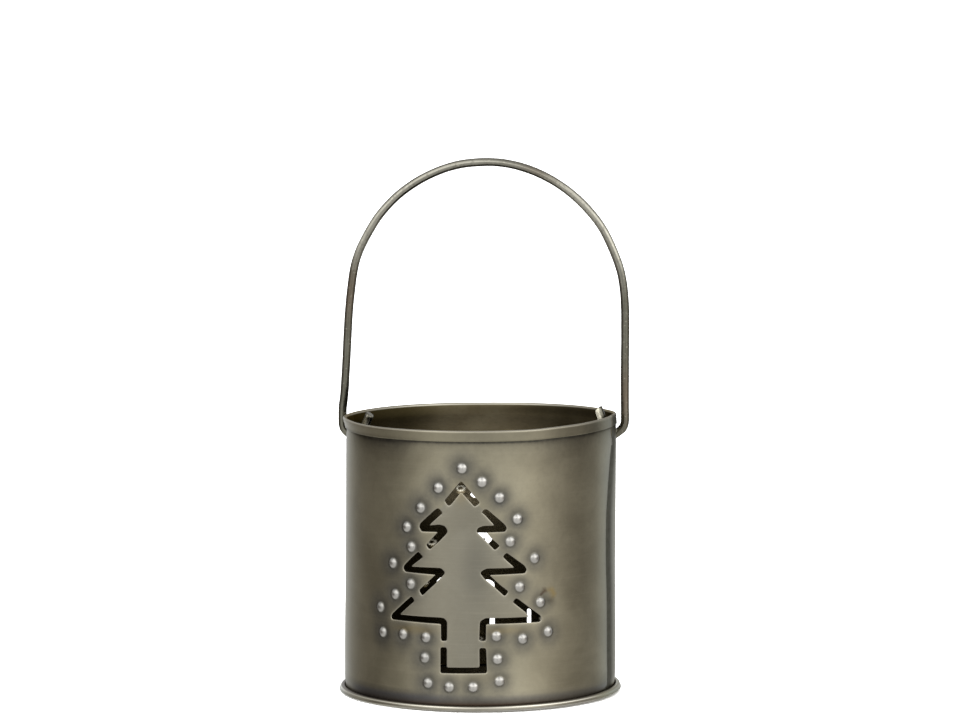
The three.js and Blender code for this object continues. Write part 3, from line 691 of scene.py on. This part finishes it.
    # Painted shade: a broad darkening of the field right of the tree, higher up.
    shade = 0.20 * smooth(21, 32, rel) * (1 - smooth(40, 58, rel)) * smooth(24, 58, wall_z)
    lapd = deg - lap_edge(wall_z)
    # Beside the lapped seam: painted shade and dark reflection on the covered sheet past the edge, with dirt along the
    # joint, and a thin darker strip on the lapping end.
    seam = np.where(deg < 200, smooth(-0.1, 0.4, lapd) * (1 - smooth(5.8, 14.5, lapd)) * 0.72, 0.30 * smooth(358.2, 360.1, lapd))
    # The hem: a little dirt all round, with painted shade set by angle round from the camera standing in for dark
    # reflections, darker at its lower edge on the left and over the seam.
    hem_shade_and_dirt = 0.03 + 0.20 * smooth(-14, 24, cam) * (1 - smooth(95, 130, cam)) + 0.16 * np.exp(-((cam + 1) / 10) ** 2) + 0.12 * np.exp(-((cam + 38) / 11) ** 2)
    hem_shade_and_dirt = hem_shade_and_dirt + 0.10 * np.exp(-((cam - 36) / 11) ** 2) + 0.34 * np.exp(-((cam - 55.5) / 7) ** 2)
    hem_shade_and_dirt = hem_shade_and_dirt + 0.42 * smooth(HEM_END - 0.8, HEM_END - 0.05, v) * smooth(18, 34, -cam) * (1 - smooth(78, 92, -cam))
    hem_shade_and_dirt = hem_shade_and_dirt + np.where(deg < 200, 0.40 * smooth(79.7, 80.6, deg) * (1 - smooth(90, 98, deg)), 0)
    # Dirt and painted shade together darken the field.
    dirt_and_shade = np.where(on_hem, hem_shade_and_dirt, np.maximum.reduce([1 - (1 - under_hem) * (1 - shade), above_bead, seam]))
    rust = np.where(on_hem, 0, np.exp(-above / 0.55) * (0.15 + 0.75 * np.exp(-((cam - 4) / 42) ** 2)))
    tint = np.zeros(n)
    for cx in (FRONT_X, REAR_X):
        for u0, v0, wu, wv, k in ((-17.0, 26.4, 7.5, 1.3, 0.42), (14.0, 26.7, 6.5, 1.1, 0.32), (6.0, 11.2, 8.0, 0.9, 0.10), (-0.3, 71.6, 2.6, 3.2, 0.34)):
            tint = np.maximum(tint, k * np.exp(-((x - cx - u0) / wu) ** 2 - ((v - v0) / wv) ** 2))
    # A small splash by one dot: an ochre ring with a brown tick.
    sx, sz = FRONT_X + 29.4, 37.9
    stain = np.hypot(x - sx, v - sz)
    bend = np.cos(np.arctan2(v - sz, x - sx) - 0.55)
    tint = np.maximum(tint, (0.80 * np.exp(-((stain - 1.75) / 0.60) ** 2) + 0.35 * np.exp(-(stain / 1.2) ** 2)) * smooth(-0.6, 0.5, bend))
    for (u1, v1), (u2, v2) in (((26.4, 37.9), (27.8, 39.2)), ((27.8, 39.2), (29.3, 39.8))):
        t1 = np.clip(((x - FRONT_X - u1) * (u2 - u1) + (v - v1) * (v2 - v1)) / ((u2 - u1) ** 2 + (v2 - v1) ** 2), 0, 1)
        rust = np.maximum(rust, 0.82 * np.exp(-(np.hypot(x - FRONT_X - u1 - t1 * (u2 - u1), v - v1 - t1 * (v2 - v1)) / 0.30) ** 2))
    smudge = 0.60 * np.exp(-((x - FRONT_X - 29.4) / 1.9) ** 2 - ((v - 35.6) / 1.4) ** 2)
    smudge = np.maximum(smudge, 0.22 * np.exp(-((x - FRONT_X - 0.6) / 1.6) ** 2 - ((v - 61.0) / 0.35) ** 2))
    dirt_and_shade = np.maximum(dirt_and_shade, smudge)
    crest = np.where(v > Z_FOLD - 0.4, np.exp(-((v - Z_FOLD - RHO_H * PI * 0.57) / 0.36) ** 2), 0) * 0.74
    edge = np.maximum(rubbed_and_lit, crest)
    past = v > Z_FOLD + RHO_H * PI * 0.5                          # beyond the fold the sheet's inner face looks outwards
    mouth = 0.9 * smooth(Z_FOLD - 0.30, Z_FOLD - 0.08, v)
    edge_in = np.where(past, crest, np.maximum(rubbed_and_lit, mouth))
    # Painted highlight: a bright cream ring inside each dimple seen from inside the drum, standing in for light caught
    # on its rim; its centre gets painted shade below.
    eye = np.hypot(x - dots[which, 0], (v - dots[which, 1] - 0.05) / 0.60)
    painted_pit_ring = np.where(past, 0, 0.97 * np.exp(-((eye - 1.32) / 0.40) ** 2))
    # Painted shade inside the drum: darker towards the sides, lower down and just under the rim, plus the hem shade
    # past the fold and a dark centre in each painted pit ring.
    turned = np.remainder(deg - 187.0 + 180, 360) - 180                # positive on the left of the picture
    round_to = np.abs(turned)
    flank = (0.77 + 0.21 * smooth(85.5, 89.0, wall_z)) * smooth(5, 36, turned) + 0.46 * smooth(9, 28, -turned) * (1 - 0.75 * smooth(38, 52, -turned))
    flank = np.where(round_to > 75, 0.74, flank)
    inside_shade = 1 - (1 - flank) * (1 - 0.62 * (1 - smooth(44, 80, wall_z)))
    # Painted light inside: a lighter, more diffuse patch halfway up the rear inner wall, a faint band below the rim,
    # and the pit rings.
    painted_light_inside = 0.28 * smooth(46, 60, wall_z) * (1 - smooth(66, 78, wall_z)) * np.exp(-((deg - 192) / 17) ** 2)
    painted_light_inside = np.maximum.reduce([painted_light_inside, 0.86 * painted_pit_ring, 0.065 * np.exp(-((wall_z - 85.3) / 2.3) ** 2) * (1 - smooth(14, 36, round_to))])
    inside_shade = np.where(past, hem_shade_and_dirt, np.maximum(1 - (1 - inside_shade) * (1 - 0.32 * smooth(86.6, 88.8, wall_z)), 0.8 * (1 - smooth(0.6, 1.0, eye))))
    zero = np.zeros(n)
    attributes = {key: np.concatenate(pair) for key, pair in {
        "su": (x, x), "sv": (v, v), "halo": (halo, zero), "dome": (polish, zero), "edge": (edge, edge_in), "panel": (panel, panel),
        "tint": (tint, zero), "dirt_and_shade": (dirt_and_shade, inside_shade), "cool": (cool, zero), "cold": (cold, zero), "rust": (rust, zero), "painted_dark_band": (painted_dark_band, zero), "painted_sheen": (painted_sheen, zero),
        "painted_pit_ring": (zero, painted_pit_ring), "painted_light_inside": (zero, painted_light_inside)}.items()}
    ob = make_mesh("wall_sheet", np.vstack([outer, inner]), faces, attributes, [sheet_material(), lining_material()], slots)

    # Flat layout for baking: outer face above, inner face below, cut edges in the strip between.
    me = ob.data
    layer = me.uv_layers.new(name="OFBake")
    lo, hi = uv.min(0), uv.max(0)
    flat = (uv - lo) / (hi - lo)
    loop_v = np.zeros(len(me.loops), np.int32)
    me.loops.foreach_get("vertex_index", loop_v)
    start = np.zeros(len(me.polygons), np.int32)
    total = np.zeros(len(me.polygons), np.int32)
    me.polygons.foreach_get("loop_start", start)
    me.polygons.foreach_get("loop_total", total)
    out = np.zeros((len(me.loops), 2))
    src = flat[loop_v % n]
    is_in = loop_v >= n
    out[:, 0] = 0.004 + 0.992 * src[:, 0]
    out[:, 1] = np.where(is_in, 0.004 + 0.478 * src[:, 1], 0.518 + 0.478 * src[:, 1])
    quads = start[total == 4]
    length = np.linalg.norm(uv[rim[:, 0]] - uv[rim[:, 1]], axis=1)
    at = np.concatenate([[0], np.cumsum(length)])
    at = 0.004 + 0.992 * at / at[-1]
    for k in range(min(len(quads), len(rim))):
        s = quads[k]
        out[s:s + 4] = [[at[k + 1], 0.508], [at[k], 0.508], [at[k], 0.492], [at[k + 1], 0.492]]
    layer.data.foreach_set("uv", out.astype(np.float32).ravel())
    return ob


# ---- the base: disc with its edge rolled over the foot flange ------------------------
def build_base():
    def arc(cx, cz, r, a0, a1, n):
        a = np.radians(np.linspace(a0, a1, n))
        return [(cx + r * math.cos(k), cz + r * math.sin(k)) for k in a]

    outside = [(6, 0), (14, 0), (24, 0), (34, 0), (40, 0), (43.5, 0)]
    outside += arc(45.75, 1.0, 1.0, -90, 0, 13) + arc(45.73, 1.53, 1.02, 0, 112, 14)
    lip = [(45.33, 2.36), (45.38, 2.22)]
    inside_ = arc(45.73, 1.53, 0.54, 108, 0, 8) + arc(45.75, 1.0, 0.62, 0, -90, 7)
    inside_ += [(44.6, 0.36), (44.02, 0.36), (43.9, 0.39), (43.84, 0.46), (43.72, 0.5), (42.5, 0.5), (40, 0.5), (34, 0.5), (24, 0.5), (14, 0.5), (6, 0.5)]
    prof = np.array(outside + lip + inside_)
    seg = 288
    a = np.linspace(0, 2 * PI, seg, endpoint=False)
    rise = np.sin(a - math.radians(CAM_AZ))
    verts, dirt_and_shade, edge, olive = [], [], [], []
    for i, (r, z) in enumerate(prof):
        near = float(smooth(43.9, 45.4, r))
        rr = r + near * (0.03 * np.sin(3 * a + 0.6) + 0.02 * np.sin(7 * a + 2.0) + 0.015 * np.sin(13 * a) - 0.04 + 0.24 * smooth(0.75, 0.98, rise))
        ahead = np.exp(-((rise - 0.06) / 0.40) ** 2) * smooth(0.0, 0.4, np.cos(a - math.radians(CAM_AZ)))
        bead = z * (0.87 + 0.05 * rise - 0.085 * ahead + 0.012 * np.sin(2 * a + 1.1) + 0.010 * np.sin(5 * a)) + 0.19 * (1 + rise)
        turned_up = (float(smooth(43.6, 45.6, r)) * (1 - float(smooth(0.2, 1.2, z)))) if i < len(outside) else 0.0
        if i < len(outside) and r > 45.7 and z < 1.0:                # the bead is undercut, most on the right
            rr = rr - (1 - z) ** 3 * (0.25 + 1.25 * smooth(0.25, 0.7, rise)) * smooth(-0.6, -0.2, rise)
        if i < len(outside) and r > 45.7:
            rr = rr + 0.34 * math.exp(-((z - 0.7) / 0.5) ** 2) * (smooth(0.72, 0.95, rise) + smooth(0.65, 0.92, -rise))
        zz = z + near * (bead - z) + turned_up * 0.22 * smooth(-0.80, -0.45, rise) * (1 + 0.45 * smooth(0.55, 0.85, rise) * (1 - smooth(0.93, 0.99, rise))) + 0.05 * near * smooth(0.80, 0.97, rise)
        verts.append(np.column_stack([rr * np.sin(a), -rr * np.cos(a), zz]))
        top = i < len(outside) + 1
        olive.append((0.72 * smooth(0.74, 0.90, rise) + 0.12 * smooth(0.3, 0.6, -rise)) * near)
        # Painted shade over the top of the bead, with dirt in the joint to the wall, less on the right.
        dirt_and_shade.append((0.78 * float(smooth(1.95, 2.45, z)) if top and r > 44.5 else 0.0) * (1 - 0.92 * smooth(0.66, 0.92, rise)))
        # Painted highlight: a bright line round the bead's upper middle, varied by angle round from the camera, and at
        # the lip on the right.
        edge.append((0.80 - 0.34 * np.exp(-(rise / 0.16) ** 2) - 0.32 * np.exp(-((rise + 0.74) / 0.13) ** 2) + 0.2 * smooth(0.3, 0.8, np.abs(rise)) - 0.30 * smooth(0.88, 0.97, rise)) * (math.exp(-((z - 1.85) / 0.34) ** 2) if top and r > 46 else 0.0)
                    + (0.55 * smooth(0.74, 0.86, rise) * float(smooth(1.9, 2.2, z)) if top and 44.5 < r <= 46 else 0.0))
    verts = np.vstack(verts + [np.array([[0, 0, 0.0], [0, 0, 0.5]])])
    faces = []
    m = len(prof)
    for i in range(m - 1):
        for k in range(seg):
            j = (k + 1) % seg
            faces.append((i * seg + j, i * seg + k, (i + 1) * seg + k, (i + 1) * seg + j)[::-1])
    low, high = m * seg, m * seg + 1
    for k in range(seg):
        j = (k + 1) % seg
        faces.append((low, j, k))
        faces.append((high, (m - 1) * seg + k, (m - 1) * seg + j))
    attributes = {"dirt_and_shade": np.concatenate(dirt_and_shade + [[0, 0]]), "edge": np.concatenate(edge + [[0, 0]]),
                  "olive": np.concatenate(olive + [[0, 0]])}
    return make_mesh("base_bead", verts, faces, attributes, [base_material()])


# ---- the bail -------------------------------------------------------------------------
def bent_run(corners):
    pts = []
    for i, (p, r) in enumerate(corners):
        p = np.array(p)
        if not r:
            pts.append(p)
            continue
        a = np.array(corners[i - 1][0]) - p
        b = np.array(corners[i + 1][0]) - p
        a, b = a / np.linalg.norm(a), b / np.linalg.norm(b)
        half = math.acos(float(np.clip(a @ b, -1, 1))) / 2
        mid = (a + b) / np.linalg.norm(a + b)
        c = p + mid * r / math.sin(half)
        s = p + a * r / math.tan(half) - c
        e = p + b * r / math.tan(half) - c
        sweep = math.atan2(s[0] * e[1] - s[1] * e[0], s @ e)
        for k in np.linspace(0, 1, 17):
            w = sweep * k
            pts.append(c + [s[0] * math.cos(w) - s[1] * math.sin(w), s[0] * math.sin(w) + s[1] * math.cos(w)])
    return pts


def through(points, per=8):
    """Smooth curve through the points."""
    p = np.array([2 * np.array(points[0]) - points[1]] + [np.array(q) for q in points] + [2 * np.array(points[-1]) - points[-2]])
    out = []
    for i in range(1, len(p) - 2):
        for t in np.linspace(0, 1, per, endpoint=False):
            out.append(0.5 * (2 * p[i] + (p[i + 1] - p[i - 1]) * t + (2 * p[i - 1] - 5 * p[i] + 4 * p[i + 1] - p[i + 2]) * t ** 2
                              + (3 * p[i] - p[i - 1] - 3 * p[i + 1] + p[i + 2]) * t ** 3))
    out.append(p[-2])
    return out


def build_bail():
    line = np.array(bent_run(BAIL_LEFT) + through(BAIL_ARCH) + bent_run(BAIL_RIGHT))
    seg = np.linalg.norm(np.diff(line, axis=0), axis=1)
    keep = np.concatenate([[True], seg > 1e-6])
    line = line[keep]
    at = np.concatenate([[0], np.cumsum(np.linalg.norm(np.diff(line, axis=0), axis=1))])
    length = at[-1]
    fine = np.linspace(0, length, int(length / 0.62))
    c = np.column_stack([np.interp(fine, at, line[:, k]) for k in (0, 1)])
    for _ in range(3):
        c[1:-1] = 0.25 * c[:-2] + 0.5 * c[1:-1] + 0.25 * c[2:]
    tan = np.gradient(c, axis=0)
    tan /= np.linalg.norm(tan, axis=1)[:, None]
    side = np.column_stack([-tan[:, 1], tan[:, 0]])
    turn = np.abs(np.gradient(np.unwrap(np.arctan2(tan[:, 1], tan[:, 0])), fine))
    squeeze = np.clip(turn / 0.35, 0, 1)
    ns = 30
    a = np.linspace(0, 2 * PI, ns, endpoint=False)
    verts, su, sv, tip, inner, rubbed_and_lit, brown, painted_shine = [], [], [], [], [], [], [], []
    total = len(c)
    for i in range(total):
        s = fine[i]
        wob = 0.010 * math.sin(s * 0.31) + 0.008 * math.sin(s * 0.83 + 1.0)
        rin = (WIRE_R + wob - 0.02) * (1 - 0.035 * squeeze[i])
        rout = (WIRE_R + wob - 0.02) * (1 + 0.012 * squeeze[i])
        from_end = min(s, length - s)
        swell = 0.20 * math.exp(-((c[i, 0] - 47.0) / 0.9) ** 2 - ((c[i, 1] - 88.6) / 2.2) ** 2) if s > length / 2 else 0.0   # spread in the bend
        nip = 1 - 0.10 * (1 - smooth(0.0, 0.5, from_end))
        # The cut ends are sheared at a slant.
        slant = np.zeros(ns)
        if from_end < 2.4:
            k = (1 - from_end / 2.4)
            lean = (0.35 if s < length / 2 else 0.75) * np.cos(a - (5.5 if s < length / 2 else 0.6))
            slant = k * lean * (1 if s < length / 2 else -1) - k * 0.0
        across = rin * nip * np.cos(a) + swell * np.maximum(np.cos(a), 0)
        flat = np.column_stack([
            c[i, 0] + side[i, 0] * across + tan[i, 0] * slant,
            HINGE_Y + rout * nip * np.sin(a),
            c[i, 1] + side[i, 1] * across + tan[i, 1] * slant,
        ])
        verts.append(flat)
        su.append(np.full(ns, s))
        sv.append(WIRE_R * a)
        # Bare metal on the sheared ends; painted highlight down the lit side of each hook; painted shade on the inside
        # of the loop.
        first_half = s < length / 2
        hook = float(1 - smooth(8.5, 10.5, from_end))
        facing = np.cos(a - (PI + 0.55 if first_half else -0.55))
        lit_side = hook * (0.34 * float(smooth(1.2, 3.0, from_end)) * smooth(-0.35, 0.55, facing) if first_half else smooth(0.10, 0.70, facing))
        tip.append(np.maximum(float(1 - smooth(0.0, 0.35, from_end)) * (0.08 if first_half else 0.1), lit_side))
        px, pz = c[i]
        # The upper arch lighter than the legs, partly wear and partly painted light, less on a dull patch.
        patch = math.exp(-((px - 19) / 6.5) ** 2) if pz > 160 else 0.0
        rubbed_and_lit.append(np.full(ns, float(smooth(136, 151, pz) if px < 0 else smooth(129, 144, pz)) * (1 - 0.6 * patch)))
        stain = 0.85 * math.exp(-((pz - 133) / 8) ** 2) if px < 0 else 0.9 * math.exp(-((pz - 99) / 9) ** 2)
        brown.append(np.full(ns, max(stain * (1 - hook), 0.35 * patch)))
        shaded_side = (0.12 + 0.22 * float(smooth(112, 135, pz)) + 0.06 * float(smooth(136, 150, pz))) * smooth(-0.1 - 0.25 * float(smooth(136, 150, pz)), 0.75, -np.cos(a + 0.25)) * (1 - hook)
        inner.append(np.maximum(shaded_side, hook * smooth(-0.35, 0.35, -facing) * (0.40 if first_half else 0.72)))
        # Painted shade over the top of the left hook.
        if first_half:
            inner[-1] = np.maximum(inner[-1], 0.52 * float(1 - smooth(1.2, 3.4, from_end)))
        strip = np.exp(-((np.cos(a - 5.06) - 1) / 0.12) ** 2) * float(smooth(138, 150, pz)) * (1 - patch)     # painted highlight along the upper side
        painted_shine.append(np.minimum(1, (math.exp(-((abs(px) - 33) / 9.5) ** 2) if pz > 140 else 0.0) + 0.5 * strip))
    # Each cut end is closed by a smaller ring and a middle point.
    ends = [verts[0], verts[-1]]
    rings = [e.mean(0) + (e - e.mean(0)) * 0.74 for e in ends]
    verts = np.vstack(verts + rings + [e.mean(0)[None] for e in ends])
    faces = []
    for i in range(total - 1):
        for k in range(ns):
            j = (k + 1) % ns
            faces.append((i * ns + k, i * ns + j, (i + 1) * ns + j, (i + 1) * ns + k))
    r0, r1, n0, n1 = total * ns, (total + 1) * ns, (total + 2) * ns, (total + 2) * ns + 1
    for k in range(ns):
        j = (k + 1) % ns
        faces += [(j, k, r0 + k, r0 + j), (n0, r0 + j, r0 + k)]
        faces += [((total - 1) * ns + k, (total - 1) * ns + j, r1 + j, r1 + k), (n1, r1 + k, r1 + j)]
    flat0 = np.zeros(ns)
    close = lambda runs, lo, hi: np.concatenate(runs + [flat0 + lo, flat0 + hi, [lo, hi]])
    attributes = {"su": close(su, 0, length), "sv": close(sv, 0, 0), "tip": close(tip, 0.15, 0.05), "inner": close(inner, 0.85, 0.9),
                  "rubbed_and_lit": close(rubbed_and_lit, 0, 0), "brown": close(brown, 0, 0), "painted_shine": close(painted_shine, 0, 0)}
    return make_mesh("bail_rod", verts, faces, attributes, [wire_material()])


wall = build_wall()
base = build_base()
bail = build_bail()

for piece, body, node_name, slot_name in (
    (wall, "pot", "body_shell", "patina_sheet"),
    (base, "pot", "base_pan", "patina_base"),
    (bail, "bail", "bail_handle", "bail_wire"),
):
    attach(piece, body)
    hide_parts(node_name)


# ---- stage: pale floor, soft studio surround ---------------------------------------------
def build_floor():
    me = bpy.data.meshes.new("floor")
    s = 6.0
    me.from_pydata([(-s, -s, 0), (s, -s, 0), (s, s, 0), (-s, s, 0)], [], [(0, 1, 2, 3)])
    m, t = new_material("floor_white")
    co = t.add("ShaderNodeTexCoord").outputs["Object"]
    n = t.noise(co, 3.0, 2.0, 0.5)
    bsdf = t.add("ShaderNodeBsdfDiffuse")
    t.put(bsdf.inputs["Color"], t.mix(n, rgb(0.90, 0.90, 0.90), rgb(0.92, 0.92, 0.92)))
    out = t.add("ShaderNodeOutputMaterial")
    t.put(out.inputs["Surface"], bsdf.outputs[0])
    me.materials.append(m)
    ob = bpy.data.objects.new("floor", me)
    scene.collection.objects.link(ob)
    ob.visible_glossy = False


def grey(v, warm=0.0):
    return (v * (1 + warm), v, v * (1 - warm), 1.0)


# Surround by direction, degrees round from the camera towards +X: brightness and warmth.
SIDE_BANDS = [(-180, 0.80, -0.03), (-162, 1.13, -0.04), (-150, 0.82, -0.03), (-136, 0.43, 0.02), (-118, 0.265, 0.09), (-92, 0.205, 0.10), (-74, 0.305, 0.07),
              (-52, 0.77, 0.02), (-34, 1.20, 0.0), (-15, 1.12, 0.0), (1, 0.84, 0.0), (15, 1.16, 0.0), (29, 1.28, 0.0), (50, 1.13, 0.03), (66, 0.77, 0.05), (83, 0.39, 0.07),
              (100, 0.28, 0.08), (112, 0.44, 0.04), (123, 0.88, -0.03), (137, 0.88, -0.13), (150, 0.70, -0.02), (164, 0.74, 0.0), (180, 0.80, -0.03)]
MID_BANDS = [(-180, 0.75), (-130, 0.60), (-104, 0.80), (-84, 1.15), (-66, 1.6), (-48, 2.2), (-30, 2.5), (-14, 2.4), (0, 2.1), (14, 1.8), (30, 2.4), (46, 3.2),
             (60, 2.8), (76, 1.9), (92, 1.3), (112, 0.8), (140, 0.65), (180, 0.75)]
HIGH_BANDS = [(-180, 0.75), (-120, 0.55), (-84, 0.70), (-62, 1.6), (-46, 2.25), (-32, 2.05), (-14, 1.28), (0, 1.08), (14, 1.28), (32, 2.15), (46, 2.45),
              (62, 1.7), (84, 0.70), (120, 0.55), (180, 0.75)]


def build_world():
    w = bpy.data.worlds.new("studio")
    scene.world = w
    w.use_nodes = True
    t = Nodes(w.node_tree)
    way = t.add("ShaderNodeTexCoord").outputs["Generated"]
    turn = t.add("ShaderNodeVectorRotate", rotation_type="Z_AXIS")
    t.put(turn.inputs["Vector"], way)
    turn.inputs["Angle"].default_value = -math.radians(CAM_AZ)
    sep = t.add("ShaderNodeSeparateXYZ")
    t.put(sep.inputs[0], turn.outputs[0])
    az = t.math("ARCTAN2", sep.outputs[0], t.math("MULTIPLY", sep.outputs[1], -1.0))
    turn01 = t.math("ADD", t.math("DIVIDE", az, 2 * PI), 0.5)
    side = t.ramp(turn01, [((d + 180) / 360, grey(v * 0.5, w)) for d, v, w in SIDE_BANDS])
    high = t.ramp(turn01, [((d + 180) / 360, grey(v * 0.2)) for d, v in HIGH_BANDS])
    mid = t.ramp(turn01, [((d + 180) / 360, grey(v * 0.2)) for d, v in MID_BANDS])
    side = t.mix(1.0, side, rgb(2.0, 2.0, 2.0), "MULTIPLY")
    mid = t.mix(1.0, mid, rgb(5.0, 5.0, 5.0), "MULTIPLY")
    high = t.mix(1.0, high, rgb(5.0, 5.0, 5.0), "MULTIPLY")
    z = sep.outputs[2]
    side = t.mix(t.span(z, -0.22, -0.66), side, rgb(1.00, 0.99, 0.97))
    body = t.mix(t.span(z, 0.08, 0.26), side, mid)
    body = t.mix(t.span(z, 0.44, 0.60), body, high)
    body = t.mix(t.span(z, 0.78, 0.93), body, rgb(0.70, 0.70, 0.70))
    studio = t.add("ShaderNodeBackground")
    t.put(studio.inputs[0], body)
    studio.inputs[1].default_value = 1.0
    even = t.add("ShaderNodeBackground")
    even.inputs[0].default_value = rgb(1, 1, 1)
    even.inputs[1].default_value = 3.3
    plain = t.add("ShaderNodeBackground")
    plain.inputs[0].default_value = rgb(1, 1, 1)
    plain.inputs[1].default_value = 1.2
    path = t.add("ShaderNodeLightPath")
    one = t.add("ShaderNodeMixShader")
    t.put(one.inputs[0], path.outputs["Is Diffuse Ray"])
    t.put(one.inputs[1], studio.outputs[0])
    t.put(one.inputs[2], even.outputs[0])
    two = t.add("ShaderNodeMixShader")
    t.put(two.inputs[0], path.outputs["Is Camera Ray"])
    t.put(two.inputs[1], one.outputs[0])
    t.put(two.inputs[2], plain.outputs[0])
    out = t.add("ShaderNodeOutputWorld")
    t.put(out.inputs["Surface"], two.outputs[0])


def build_camera():
    cam = bpy.data.cameras.new("camera")
    cam.sensor_width = 36.0
    cam.lens = 158.446
    cam.clip_start, cam.clip_end = 0.05, 60.0
    ob = bpy.data.objects.new("camera", cam)
    scene.collection.objects.link(ob)
    ob.location = (0.181397, -1.402757, 0.244022)
    ob.rotation_euler = Vector((-0.126493, 0.987427, -0.094803)).to_track_quat("-Z", "Y").to_euler()
    scene.camera = ob


build_floor()
build_world()
build_camera()
scene.view_settings.view_transform = "Standard"
scene.view_settings.look = "None"
